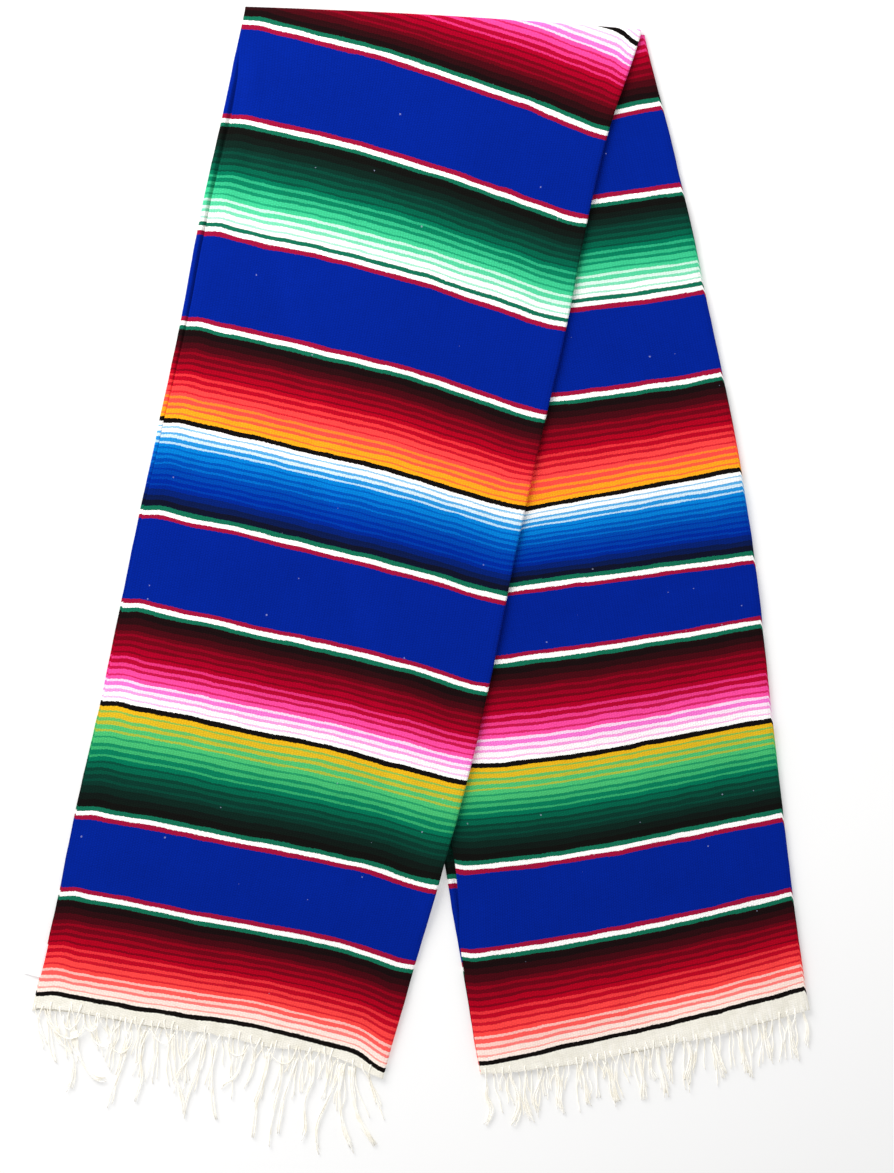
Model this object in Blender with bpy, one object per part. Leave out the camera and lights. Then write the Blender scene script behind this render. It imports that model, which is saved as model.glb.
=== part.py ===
"""A woven serape with fringed ends, folded for display and lying flat.

The cloth is one long web. It is doubled along its length, so each stretch of it is two layers with
a rounded fold down its right side and two selvedges down its left side. The doubled strip is then
folded across its middle, and the upper stretch lies slanted over the lower one. The origin is on
the surface under the middle of the whole, +X is to the right and +Y points to the cross fold.
"""

import math
import random
from collections import namedtuple

import bmesh
import bpy
from mathutils import Vector

MM = 0.001

# Thickness of the cloth and the clearance between neighbours
CLOTH = 2.0 * MM
GAP = 0.3 * MM
PLY = CLOTH + GAP
DOUBLED = PLY + CLOTH
LIFT = DOUBLED + GAP
SIDE_FOLD_RADIUS = DOUBLED / 2
CROSS_FOLD_RADIUS = (LIFT + DOUBLED) / 2
FOLD_ARC_STEPS = 5
CROSS_FOLD_STEPS = 6
CORNER_INSET = 0.2 * MM

# How the solids are divided
ACROSS = 8
ALONG = 16

# The cross fold, seen from above, and the black line at each end of the cloth
FOLD_LEFT = Vector((-156.5 * MM, 522.5 * MM, 0))
FOLD_RIGHT = Vector((203.8 * MM, 501.6 * MM, 0))
UPPER_END_LEFT = Vector((-344.9 * MM, -374.5 * MM, 0))
UPPER_END_RIGHT = Vector((-30.9 * MM, -446.4 * MM, 0))
LOWER_END_LEFT = Vector((57.3 * MM, -437.3 * MM, 0))
LOWER_END_RIGHT = Vector((354.0 * MM, -371.7 * MM, 0))

# Past the black line: the plain heading, then the strip that the fringe is rooted in
HEADING = 15.0 * MM
ROOT_STRIP = 4.0 * MM

# The lower panel holds the upper one up, which slopes down to the surface beside it
SLOPE_RUN = 26.0 * MM
SLOPE_CUTS = 6
SLOPE_MARGIN = 1.0 * MM

# Fringe: locks on each layer of each end
LOCKS = 27
LOCK_STEPS = 5
LOCK_WIDTH = 3.0 * MM
LOCK_TIP_WIDTH = 1.5 * MM
LOCK_HEIGHT = 1.4 * MM
LOCK_TIP_HEIGHT = 0.9 * MM
LOCK_FLOOR_GAP = 0.35 * MM
LOCK_SETTLES_AT = 16.0 * MM
LOCK_SWAY = 4.0 * MM
LOCK_SWAY_PITCH = 105.0 * MM
LOCK_CLUSTER = 1.4 * MM
LOCK_CLUSTER_PITCH = 31.0 * MM
LOCK_WANDER = 0.4 * MM
LOCK_SHORTEST = 0.66

# The blank sewn tag at the selvedge of the upper panel
TAG_LENGTH = 31.0 * MM
TAG_REACH = 16.0 * MM
TAG_THICKNESS = 1.0 * MM
TAG_PLACE = 0.967
TAG_STEPS = 5

# A row for each of eleven evenly spaced sections, from the cross fold to the black end line, in mm:
# how far the selvedge side and the folded side stand out from a straight edge, how far the middle
# of the row lies towards the fold, and how far the hidden layer shows past the upper one.
Section = namedtuple("Section", "selvedge_out folded_out rise peek")
UPPER_SECTIONS = [
    Section(-0.7, 0.0, 2.4, 0.3),
    Section(-6.0, -7.3, 1.4, 5.4),
    Section(-3.6, -5.5, 1.6, 4.4),
    Section(-5.2, -0.8, 2.4, 3.8),
    Section(-4.4, 0.6, 3.0, 3.0),
    Section(-3.0, 3.6, 3.3, 2.4),
    Section(-2.6, 8.2, 3.6, 2.0),
    Section(-2.8, 10.5, 3.7, 1.8),
    Section(-0.6, 8.6, 3.8, 1.5),
    Section(-1.0, 4.8, 4.6, 1.3),
    Section(0.8, 1.5, 12.5, 1.0),
]
LOWER_SECTIONS = [
    Section(0.0, 3.5, 2.4, -5.0),
    Section(-1.0, 10.4, 1.2, -4.0),
    Section(-2.0, 16.0, 0.8, -2.0),
    Section(-3.0, 18.9, 1.0, 0.5),
    Section(-3.5, 22.3, 1.0, 1.5),
    Section(-4.0, 22.0, 0.5, 2.0),
    Section(-6.0, 18.8, 0.0, 3.0),
    Section(-11.0, 12.9, -1.0, 5.0),
    Section(-15.5, 7.8, -2.0, 7.0),
    Section(-5.0, 2.6, -3.0, 1.2),
    Section(1.0, 0.0, -3.5, 0.8),
]

Panel = namedtuple("Panel", "start_left start_right end_left end_right sections base")
Fringe = namedtuple("Fringe", "name panel low length seed offset")


def clear_scene():
    for item in list(bpy.data.objects):
        bpy.data.objects.remove(item, do_unlink=True)


def dyed_yarn(name, colour, roughness):
    material = bpy.data.materials.new(name)
    material.use_nodes = True
    shader = material.node_tree.nodes["Principled BSDF"]
    shader.inputs["Base Color"].default_value = (*colour, 1)
    shader.inputs["Roughness"].default_value = roughness
    shader.inputs["Metallic"].default_value = 0
    return material


def make_object(name, bm, material):
    """The finished mesh as an object, with its faces pointing out and its round parts smooth."""
    bmesh.ops.recalc_face_normals(bm, faces=bm.faces)
    mesh = bpy.data.meshes.new(name)
    bm.to_mesh(mesh)
    bm.free()
    mesh.materials.append(material)
    mesh.shade_smooth()
    mesh.set_sharp_from_angle(angle=math.radians(40))
    thing = bpy.data.objects.new(name, mesh)
    bpy.context.scene.collection.objects.link(thing)
    return thing


# The plan of a panel
FOLD_ALONG = (FOLD_RIGHT - FOLD_LEFT).normalized()
FOLD_INWARD = Vector((FOLD_ALONG.y, -FOLD_ALONG.x, 0))
AXIS_LEFT = FOLD_LEFT + FOLD_INWARD * CROSS_FOLD_RADIUS
AXIS_RIGHT = FOLD_RIGHT + FOLD_INWARD * CROSS_FOLD_RADIUS
UPPER = Panel(AXIS_LEFT, AXIS_RIGHT, UPPER_END_LEFT, UPPER_END_RIGHT, UPPER_SECTIONS, LIFT)
LOWER = Panel(
    AXIS_LEFT + FOLD_INWARD * GAP,
    AXIS_RIGHT + FOLD_INWARD * GAP,
    LOWER_END_LEFT,
    LOWER_END_RIGHT,
    LOWER_SECTIONS,
    0.0,
)


def section_at(panel, along):
    """The table's columns at a share along the panel, on a smooth curve through its rows."""
    rows = panel.sections
    place = min(max(along, 0.0), 1.0) * (len(rows) - 1)
    first = min(int(place), len(rows) - 2)
    part = place - first
    before = rows[max(first - 1, 0)]
    after = rows[min(first + 2, len(rows) - 1)]
    values = []
    for a, b, c, d in zip(before, rows[first], rows[first + 1], after):
        curve = b + 0.5 * part * (c - a + part * (2 * a - 5 * b + 4 * c - d))
        curve += 0.5 * part**3 * (3 * (b - c) + d - a)
        values.append(curve * MM)
    return Section(*values)


def row_ends(panel, along):
    """The outermost points of a row: on the selvedge of the upper layer, and on the side fold."""
    left = panel.start_left.lerp(panel.end_left, along)
    right = panel.start_right.lerp(panel.end_right, along)
    across = (right - left).normalized()
    section = section_at(panel, along)
    return left - across * section.selvedge_out, right + across * section.folded_out


def end_direction(panel):
    start = (panel.start_left + panel.start_right) / 2
    end = (panel.end_left + panel.end_right) / 2
    return (end - start).normalized()


def row_width(panel, along):
    left, right = row_ends(panel, along)
    return (right - left).length


def place_on(panel, along, beyond, distance):
    """A point of a row at a distance from the upper selvedge, which is negative for the peek."""
    left, right = row_ends(panel, along)
    share = distance / (right - left).length
    rise = 4 * section_at(panel, along).rise * max(share, 0.0) * (1 - share)
    return left.lerp(right, share) + end_direction(panel) * (beyond - rise)


def row_points(panel, along, beyond, first, last):
    """Evenly spaced points across a row, between two distances from the upper selvedge."""
    step = (last - first) / ACROSS
    return [place_on(panel, along, beyond, first + step * i) for i in range(ACROSS + 1)]


def raised(points, height):
    return [Vector((p.x, p.y, height)) for p in points]


def folded_ring(panel, along, beyond=0.0):
    """Section of the visible layer: a flat wall that turns down round the side fold.

    It comes as the wall's upper points, the fold's arc and the wall's lower points.
    """
    width = row_width(panel, along)
    flat = width - SIDE_FOLD_RADIUS
    points = row_points(panel, along, beyond, 0.0, flat)
    under = points[:-1] + [place_on(panel, along, beyond, flat - CORNER_INSET)]
    top = raised(points, panel.base + DOUBLED)
    arc = []
    for i in range(1, FOLD_ARC_STEPS + 1):
        turn = math.pi * i / FOLD_ARC_STEPS
        out = SIDE_FOLD_RADIUS * math.sin(turn)
        height = SIDE_FOLD_RADIUS * (1 + math.cos(turn))
        spot = place_on(panel, along, beyond, flat + out)
        arc.append(Vector((spot.x, spot.y, panel.base + height)))
    return top, arc, raised(under, panel.base + PLY)


def hidden_ring(panel, along, beyond=0.0):
    """Section of the hidden layer: a flat wall, out to its own selvedge and short of the fold."""
    start = -section_at(panel, along).peek
    stop = row_width(panel, along) - SIDE_FOLD_RADIUS - CORNER_INSET - GAP
    points = row_points(panel, along, beyond, start, stop)
    return raised(points, panel.base + CLOTH), [], raised(points, panel.base)


def rolled(ring, turn):
    """A section at the cross fold, turned about the fold's axis from the upper to the lower side."""
    centre = CROSS_FOLD_RADIUS
    parts = []
    for part in ring:
        moved = []
        for point in part:
            radius = point.z - centre
            spot = Vector((point.x, point.y, centre))
            spot -= FOLD_INWARD * radius * math.sin(turn)
            spot.z += radius * math.cos(turn)
            moved.append(spot)
        parts.append(moved)
    return tuple(parts)


def loft(rings):
    """A closed solid through sections that each have the same number of points."""
    bm = bmesh.new()
    loops = []
    for top, arc, under in rings:
        loops.append([bm.verts.new(p) for p in top + arc + under[::-1]])
    for one, two in zip(loops, loops[1:]):
        for i in range(len(one)):
            j = (i + 1) % len(one)
            bm.faces.new((one[i], one[j], two[j], two[i]))
    for loop in (loops[0], loops[-1]):
        count = len(rings[0][0])
        for i in range(count - 1):
            bm.faces.new((loop[i], loop[i + 1], loop[-2 - i], loop[-1 - i]))
        if rings[0][1]:
            bm.faces.new(loop[count - 1 : len(loop) - count + 1])
    return bm


def panel_rings(panel, ring_of):
    rings = [ring_of(panel, i / ALONG) for i in range(ALONG + 1)]
    rings.append(ring_of(panel, 1.0, HEADING - GAP))
    return rings


def cross_fold_rings(ring_of):
    """The turn at the cross fold, from the lower side up to the start of the upper panel."""
    ring = ring_of(UPPER, 0.0)
    return [rolled(ring, math.pi * i / CROSS_FOLD_STEPS) for i in range(CROSS_FOLD_STEPS, 0, -1)]


def slope_line():
    """A point and the outward normal of the line where the upper panel starts to slope down."""
    outward = (LOWER_END_LEFT - AXIS_LEFT).normalized()
    outward = Vector((outward.y, -outward.x, 0))
    furthest = 0.0
    for i in range(ALONG + 1):
        peek = max(section_at(LOWER, i / ALONG).peek, 0.0)
        spot = place_on(LOWER, i / ALONG, 0.0, -peek)
        furthest = max(furthest, (spot - AXIS_LEFT).dot(outward))
    corner = place_on(UPPER, 0.0, 0.0, -section_at(UPPER, 0.0).peek)
    furthest = max(furthest, (corner - AXIS_LEFT).dot(outward))
    return AXIS_LEFT + outward * (furthest + SLOPE_MARGIN), outward


def slope_down(bm):
    """Lets the cloth down beside the lower panel, with a cut at each line where its slope changes."""
    start, outward = slope_line()
    for i in range(SLOPE_CUTS + 1):
        everything = bm.verts[:] + bm.edges[:] + bm.faces[:]
        line = start + outward * SLOPE_RUN * i / SLOPE_CUTS
        bmesh.ops.bisect_plane(bm, geom=everything, plane_co=line, plane_no=outward, dist=1e-6)
    for vert in bm.verts:
        share = (Vector((vert.co.x, vert.co.y, 0)) - start).dot(outward) / SLOPE_RUN
        share = min(max(share, 0.0), 1.0)
        vert.co.z -= LIFT * share * share * (3 - 2 * share)
    bmesh.ops.triangulate(bm, faces=bm.faces)


def upper_visible_layer(material):
    bm = loft(cross_fold_rings(folded_ring) + panel_rings(UPPER, folded_ring))
    slope_down(bm)
    return make_object("upper_panel_visible_layer", bm, material)


def upper_hidden_layer(material):
    bm = loft(cross_fold_rings(hidden_ring) + panel_rings(UPPER, hidden_ring))
    slope_down(bm)
    return make_object("upper_panel_hidden_layer", bm, material)


def lower_visible_layer(material):
    return make_object("lower_panel_visible_layer", loft(panel_rings(LOWER, folded_ring)), material)


def lower_hidden_layer(material):
    return make_object("lower_panel_hidden_layer", loft(panel_rings(LOWER, hidden_ring)), material)


# Fringe
def lock_route(fringe, root, length, chance):
    """Where a lock's centre line runs: out of the heading, down to the surface and off sideways."""
    heading = end_direction(fringe.panel)
    phase = chance.uniform(0, 2 * math.pi)
    wander = LOCK_WANDER * chance.uniform(0.4, 1.0)
    resting = LOCK_FLOOR_GAP + LOCK_HEIGHT / 2
    route = []
    for i in range(1, LOCK_STEPS + 1):
        run = length * i / LOCK_STEPS
        hang = min(run / LOCK_SETTLES_AT, 1.0)
        way = heading.lerp(Vector((0, -1, 0)), 0.6 * hang)
        spot = root + way.normalized() * run
        sway = LOCK_SWAY * math.sin(2 * math.pi * root.x / LOCK_SWAY_PITCH + 1.3 * i / LOCK_STEPS)
        sway += LOCK_CLUSTER * math.sin(2 * math.pi * root.x / LOCK_CLUSTER_PITCH)
        spot.x += (run / length) ** 1.5 * sway
        spot.x += wander * math.sin(phase + 2.2 * i / LOCK_STEPS)
        settle = hang * hang * (3 - 2 * hang)
        spot.z = (fringe.low + CLOTH / 2) * (1 - settle) + resting * settle
        route.append(spot)
    return route


def grow_lock(bm, face_verts, fringe, length, chance):
    """A four-sided lock that grows out of one face of the root strip."""
    root = sum((v.co for v in face_verts), Vector()) / 4
    before = root
    ring = face_verts
    route = lock_route(fringe, root, length, chance)
    for i, spot in enumerate(route):
        taper = (i + 1) / LOCK_STEPS
        width = LOCK_WIDTH + (LOCK_TIP_WIDTH - LOCK_WIDTH) * taper
        height = LOCK_HEIGHT + (LOCK_TIP_HEIGHT - LOCK_HEIGHT) * taper
        forward = spot - before
        side = Vector((-forward.y, forward.x, 0)).normalized() * width / 2
        rise = Vector((0, 0, height / 2))
        corners = (spot + side + rise, spot - side + rise, spot - side - rise, spot + side - rise)
        new_ring = [bm.verts.new(p) for p in corners]
        for k in range(4):
            j = (k + 1) % 4
            bm.faces.new((ring[k], ring[j], new_ring[j], new_ring[k]))
        ring = new_ring
        before = spot
    bm.faces.new(ring)


def fringe_solid(fringe, material):
    """One strip of the heading, with a lock growing out of every other cell of its outer edge."""
    panel = fringe.panel
    width = row_width(panel, 1.0) - SIDE_FOLD_RADIUS
    pitch = width / (LOCKS + 1)
    marks = [0.0]
    for i in range(LOCKS):
        middle = pitch * (i + 0.5 + fringe.offset)
        marks += [middle - LOCK_WIDTH / 2, middle + LOCK_WIDTH / 2]
    marks.append(width)
    bm = bmesh.new()
    lines = []
    for beyond in (HEADING, HEADING + ROOT_STRIP):
        for height in (fringe.low + CLOTH, fringe.low):
            points = [place_on(panel, 1.0, beyond, mark) for mark in marks]
            lines.append([bm.verts.new(p) for p in raised(points, height)])
    inner_top, inner_under, outer_top, outer_under = lines
    chance = random.Random(fringe.seed)
    for i in range(len(marks) - 1):
        bm.faces.new((inner_top[i], inner_top[i + 1], outer_top[i + 1], outer_top[i]))
        bm.faces.new((inner_under[i], inner_under[i + 1], outer_under[i + 1], outer_under[i]))
        bm.faces.new((inner_top[i], inner_top[i + 1], inner_under[i + 1], inner_under[i]))
        cell = (outer_top[i + 1], outer_top[i], outer_under[i], outer_under[i + 1])
        if i % 2 == 1:
            grow_lock(bm, cell, fringe, fringe.length * chance.uniform(LOCK_SHORTEST, 1.0), chance)
        else:
            bm.faces.new(cell)
    for i in (0, -1):
        bm.faces.new((inner_top[i], outer_top[i], outer_under[i], inner_under[i]))
    return make_object(fringe.name, bm, material)


FRINGES = [
    Fringe("upper_visible_fringe", UPPER, PLY, 68 * MM, 3, 0.0),
    Fringe("upper_hidden_fringe", UPPER, 0.0, 64 * MM, 5, 0.5),
    Fringe("lower_visible_fringe", LOWER, PLY, 54 * MM, 7, 0.0),
    Fringe("lower_hidden_fringe", LOWER, 0.0, 50 * MM, 11, 0.5),
]


# Tag
def selvedge_tag(material):
    """A blank ribbon tag that stands out of the selvedge and droops to the surface."""
    half = TAG_LENGTH / 2 / (UPPER_END_LEFT - AXIS_LEFT).length
    near = place_on(UPPER, TAG_PLACE - half, 0.0, 0.0)
    far = place_on(UPPER, TAG_PLACE + half, 0.0, 0.0)
    along = (far - near).normalized()
    outward = Vector((along.y, -along.x, 0))
    rings = []
    for i in range(TAG_STEPS + 1):
        share = i / TAG_STEPS
        droop = share * share * (3 - 2 * share)
        low = PLY * (1 - droop) + LOCK_FLOOR_GAP * droop
        reach = outward * (GAP + (TAG_REACH - GAP) * share)
        edge = [near + reach, far + reach]
        rings.append((raised(edge, low + TAG_THICKNESS), [], raised(edge, low)))
    return make_object("selvedge_tag", loft(rings), material)


def build():
    clear_scene()
    web = dyed_yarn("blue_weft", (0.0, 0.02, 0.30), 0.85)
    warp = dyed_yarn("cream_warp", (0.86, 0.84, 0.76), 0.9)
    ribbon = dyed_yarn("white_ribbon", (0.88, 0.87, 0.86), 0.6)
    upper_visible_layer(web)
    upper_hidden_layer(web)
    lower_visible_layer(web)
    lower_hidden_layer(web)
    for fringe in FRINGES:
        fringe_solid(fringe, warp)
    selvedge_tag(ribbon)


build()
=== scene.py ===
# %% [markdown]
# # A striped serape, folded and lying flat
#
# A serape is one long web woven on a loom: cream cotton warp down its length, and thick dyed weft
# packed so tightly across it that only the weft shows. This lesson dresses the rigid model of one
# that has been doubled along its length and then folded across its middle. It takes the camera
# first, then the room, the cloth, its dyes, the fringe and the tag.

# %% Load the frame
import math
import random
from collections import namedtuple

import bpy
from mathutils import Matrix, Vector, noise


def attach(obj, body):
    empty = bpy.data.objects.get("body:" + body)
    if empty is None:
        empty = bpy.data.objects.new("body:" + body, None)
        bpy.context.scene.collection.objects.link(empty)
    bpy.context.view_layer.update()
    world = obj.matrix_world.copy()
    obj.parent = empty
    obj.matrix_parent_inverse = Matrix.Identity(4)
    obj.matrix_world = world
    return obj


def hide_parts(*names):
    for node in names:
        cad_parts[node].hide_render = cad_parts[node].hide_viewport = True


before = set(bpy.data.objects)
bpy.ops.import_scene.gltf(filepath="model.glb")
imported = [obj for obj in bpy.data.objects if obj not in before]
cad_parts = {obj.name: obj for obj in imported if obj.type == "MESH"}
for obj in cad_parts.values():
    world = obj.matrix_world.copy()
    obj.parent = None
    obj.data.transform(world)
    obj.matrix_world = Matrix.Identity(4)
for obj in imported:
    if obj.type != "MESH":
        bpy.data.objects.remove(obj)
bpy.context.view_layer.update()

# %% [markdown]
# ## The camera
#
# The serape is seen from straight above. One pixel of the photograph is 0.91 mm on the floor, and
# a long lens three metres up keeps everything as square as the photograph shows it. The functions
# here turn a place in the photograph into a place on the floor, because stripes and loose yarns
# are easiest to describe where one sees them.

# %% Camera and the photograph's scale
MM = 0.001
PIXEL = 0.91 * MM
ORIGIN_X, ORIGIN_Y = 417.0, 581.5
PHOTO_WIDTH, PHOTO_HEIGHT = 894, 1173
CAMERA_HEIGHT = 3.0


def floor_place(x, y):
    """The place on the floor of a pixel of the photograph."""
    return Vector(((x - ORIGIN_X) * PIXEL, (ORIGIN_Y - y) * PIXEL, 0))


def photo_height(spot):
    """How far down the photograph a place is, in pixels."""
    return ORIGIN_Y - spot.y / PIXEL


middle = floor_place(PHOTO_WIDTH / 2, PHOTO_HEIGHT / 2)
bpy.ops.object.camera_add(location=(middle.x, middle.y, CAMERA_HEIGHT), rotation=(0, 0, 0))
camera = bpy.context.object
camera.data.sensor_width = 36
camera.data.lens = 36 * CAMERA_HEIGHT / (PHOTO_HEIGHT * PIXEL)
bpy.context.scene.camera = camera
print("camera over", tuple(round(v, 4) for v in middle), "lens", round(camera.data.lens, 1), "mm")

# %% [markdown]
# ## The room
#
# The photograph is bright and almost without shadows: a white table under a large soft window to
# the upper left, between pale walls. The walls are brighter than the ceiling, and reach in under the
# loose yarns, and the table itself glows a little, as a lit table would for a shop's pictures; this
# glow is painted light, fainter towards the lower right, that fills the shade under the fringe, so
# the white fringe stays white on white. One big area lamp gives the direction. The plain view
# transform keeps the dyes as strong as they are.

# %% Floor, sky and lamps
WALL_LIGHT = 1.30
CEILING_LIGHT = 0.44
WINDOW_POWER = 38.0
TABLE_GLOW = 0.33
FLOOR_DROP = 0.2 * MM

bpy.context.scene.view_settings.view_transform = "Standard"


def linear(hex_colour):
    """An sRGB hex colour as the linear colour that shaders take."""
    parts = [int(hex_colour[i : i + 2], 16) / 255 for i in (0, 2, 4)]
    return (*(p / 12.92 if p <= 0.04045 else ((p + 0.055) / 1.055) ** 2.4 for p in parts), 1)


def add(tree, kind, sockets=None, **settings):
    """A new node, with its settings, and each socket given a value or a link from another socket."""
    made = tree.nodes.new(kind)
    for name, value in settings.items():
        setattr(made, name, value)
    for name, value in (sockets or {}).items():
        if isinstance(value, bpy.types.NodeSocket):
            tree.links.new(value, made.inputs[name])
        else:
            made.inputs[name].default_value = value
    return made


def new_material(name):
    """An empty material and its tree."""
    material = bpy.data.materials.new(name)
    material.use_nodes = True
    material.node_tree.nodes.clear()
    return material, material.node_tree


world = bpy.data.worlds.new("pale_sky")
bpy.context.scene.world = world
world.use_nodes = True
world.node_tree.nodes.clear()
way = add(world.node_tree, "ShaderNodeTexCoord")
up = add(world.node_tree, "ShaderNodeSeparateXYZ", {0: way.outputs["Generated"]})
climb = {0: up.outputs[2], 1: 0.0, 2: 1.0, 3: WALL_LIGHT, 4: CEILING_LIGHT}
fading = add(world.node_tree, "ShaderNodeMapRange", climb)
pale_light = {"Color": linear("fbfbfd"), "Strength": fading.outputs[0]}
sky = add(world.node_tree, "ShaderNodeBackground", pale_light)
add(world.node_tree, "ShaderNodeOutputWorld", {"Surface": sky.outputs[0]})

bpy.ops.mesh.primitive_plane_add(size=9, location=(0, 0, -FLOOR_DROP))
floor = bpy.context.object
floor.name = "floor"
paint, tree = new_material("white_table_paint")
soft_grey = add(tree, "ShaderNodeTexNoise", {"Scale": 1.6, "Detail": 2.0})
shade = add(tree, "ShaderNodeValToRGB", {"Fac": soft_grey.outputs["Fac"]})
shade.color_ramp.elements[0].color = linear("cfcfce")
shade.color_ramp.elements[1].color = linear("d5d5d4")
# Painted light: the table glows by its emission, fainter towards the lower right, and so fills the shade
# under the fringe.
spot = add(tree, "ShaderNodeTexCoord")
away = {0: spot.outputs["Object"], 1: (0.5, -1.0, 0.0)}
far = add(tree, "ShaderNodeVectorMath", away, operation="DOT_PRODUCT")
falling = {0: far.outputs["Value"], 1: 0.42, 2: 0.76, 3: TABLE_GLOW, 4: 0.8 * TABLE_GLOW}
painted_table_glow = add(tree, "ShaderNodeMapRange", falling)
coat = add(
    tree,
    "ShaderNodeBsdfPrincipled",
    {
        "Base Color": shade.outputs[0],
        "Roughness": 0.7,
        "Specular IOR Level": 0.1,
        "Emission Color": (1, 1, 1, 1),
        "Emission Strength": painted_table_glow.outputs[0],
    },
)
add(tree, "ShaderNodeOutputMaterial", {"Surface": coat.outputs[0]})
floor.data.materials.append(paint)

bpy.ops.object.light_add(type="AREA", location=(-1.0, 1.2, 1.3))
window = bpy.context.object
window.data.size = 1.3
window.data.energy = WINDOW_POWER
window.data.color = (1.0, 0.985, 0.965)
window.rotation_euler = (Vector((0, 0.1, 0)) - window.location).to_track_quat("-Z", "Y").to_euler()
print("window lamp", WINDOW_POWER, "W, walls", WALL_LIGHT, "ceiling", CEILING_LIGHT)

# %% [markdown]
# ## How the serape is folded
#
# The web is doubled along its length, so each stretch is two layers with a rounded fold down its
# right side and two selvedges down its left. The doubled strip is then folded across its middle
# and the upper stretch lies slanted on the lower one. These sizes are the rigid model's own, so
# the dressed cloth lies where the solids are: a table for each stretch says how its sides stand
# out from a straight edge, how its rows bow, and how far the hidden layer shows.

# %% Sizes of the folded web
WALL = 2.0 * MM
GAP = 0.3 * MM
PLY = WALL + GAP
DOUBLED = PLY + WALL
LIFT = DOUBLED + GAP
SIDE_FOLD_RADIUS = DOUBLED / 2
CROSS_FOLD_RADIUS = (LIFT + DOUBLED) / 2
CLOTH = 1.8 * MM
SLOPE_RUN = 26.0 * MM
SLOPE_MARGIN = 1.0 * MM

FOLD_LEFT = Vector((-156.5 * MM, 522.5 * MM, 0))
FOLD_RIGHT = Vector((203.8 * MM, 501.6 * MM, 0))
# How far the selvedges and the side fold stand out, the bow, and the peek, in millimetres.
UPPER_SECTIONS = [
    (-0.7, -6.0, -3.6, -5.2, -4.4, -3.0, -2.6, -2.8, -0.6, -1.0, 0.8),
    (0.0, -7.3, -5.5, -0.8, 0.6, 3.6, 8.2, 10.5, 8.6, 4.8, 1.5),
    (2.4, 1.4, 1.6, 2.4, 3.0, 3.3, 3.6, 3.7, 3.8, 4.6, 12.5),
    (0.3, 5.4, 4.4, 3.8, 3.0, 2.4, 2.0, 1.8, 1.5, 1.3, 1.0),
]
LOWER_SECTIONS = [
    (0.0, -1.0, -2.0, -3.0, -3.5, -4.0, -6.0, -11.0, -15.5, -5.0, 1.0),
    (3.5, 10.4, 16.0, 18.9, 22.3, 22.0, 18.8, 12.9, 7.8, 2.6, 0.0),
    (2.4, 1.2, 0.8, 1.0, 1.0, 0.5, 0.0, -1.0, -2.0, -3.0, -3.5),
    (-5.0, -4.0, -2.0, 0.5, 1.5, 2.0, 3.0, 5.0, 7.0, 1.2, 0.8),
]
Panel = namedtuple("Panel", "start_left start_right end_left end_right sections seed hidden_step")
FOLD_ALONG = (FOLD_RIGHT - FOLD_LEFT).normalized()
FOLD_INWARD = Vector((FOLD_ALONG.y, -FOLD_ALONG.x, 0))
AXIS_LEFT = FOLD_LEFT + FOLD_INWARD * CROSS_FOLD_RADIUS
AXIS_RIGHT = FOLD_RIGHT + FOLD_INWARD * CROSS_FOLD_RADIUS
UPPER = Panel(
    AXIS_LEFT,
    AXIS_RIGHT,
    Vector((-344.9 * MM, -374.5 * MM, 0)),
    Vector((-30.9 * MM, -446.4 * MM, 0)),
    UPPER_SECTIONS,
    seed=3.0,
    hidden_step=1.2,
)
LOWER = Panel(
    AXIS_LEFT + FOLD_INWARD * GAP,
    AXIS_RIGHT + FOLD_INWARD * GAP,
    Vector((57.3 * MM, -437.3 * MM, 0)),
    Vector((354.0 * MM, -371.7 * MM, 0)),
    LOWER_SECTIONS,
    seed=8.0,
    hidden_step=-15.0,
)
print("doubled width at the cross fold", round((FOLD_RIGHT - FOLD_LEFT).length, 3), "m")

# %% [markdown]
# A row is one weft's place across a stretch. Its two ends come from the table, on a smooth curve,
# and a hand-woven edge is never quite straight, so each selvedge and each fold wanders by half a
# millimetre over a few centimetres.

# %% Rows of the web
EDGE_WANDER = 0.55 * MM
Row = namedtuple("Row", "panel along left right width rise peek heading")


def curve_through(values, share):
    """The value at a share along a smooth curve through evenly spaced values."""
    place = min(max(share, 0.0), 1.0) * (len(values) - 1)
    first = min(int(place), len(values) - 2)
    part = place - first
    a, b, c = values[max(first - 1, 0)], values[first], values[first + 1]
    d = values[min(first + 2, len(values) - 1)]
    curve = b + 0.5 * part * (c - a + part * (2 * a - 5 * b + 4 * c - d))
    return curve + 0.5 * part**3 * (3 * (b - c) + d - a)


def soft_step(share):
    share = min(max(share, 0.0), 1.0)
    return share * share * (3 - 2 * share)


def wander(distance, seed):
    """An uneven edge: two widths of wave along a distance, between -1 and 1."""
    slow = noise.noise(Vector((distance / (46 * MM), seed, 0.5)))
    quick = noise.noise(Vector((distance / (15 * MM), seed + 40, 0.5)))
    return slow + 0.5 * quick


def row_of(panel, along):
    """The ends of a row, its width, its bow, and the way its cloth runs on."""
    out, folded, rise, peek = (curve_through(column, along) * MM for column in panel.sections)
    left = panel.start_left.lerp(panel.end_left, along)
    right = panel.start_right.lerp(panel.end_right, along)
    across = (right - left).normalized()
    length = (panel.end_left - panel.start_left).length
    calm = soft_step(along / 0.05)
    out += EDGE_WANDER * wander(along * length, panel.seed) * calm
    folded += 0.7 * EDGE_WANDER * wander(along * length, panel.seed + 7) * calm
    left, right = left - across * out, right + across * folded
    start = (panel.start_left + panel.start_right) / 2
    heading = ((panel.end_left + panel.end_right) / 2 - start).normalized()
    return Row(panel, along, left, right, (right - left).length, rise, peek, heading)


def place_on(row, beyond, distance):
    """A point of a row at a distance from the upper selvedge, which is negative for the peek."""
    share = distance / row.width
    rise = 4 * row.rise * max(share, 0.0) * (1 - share)
    return row.left.lerp(row.right, share) + row.heading * (beyond - rise)


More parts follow.
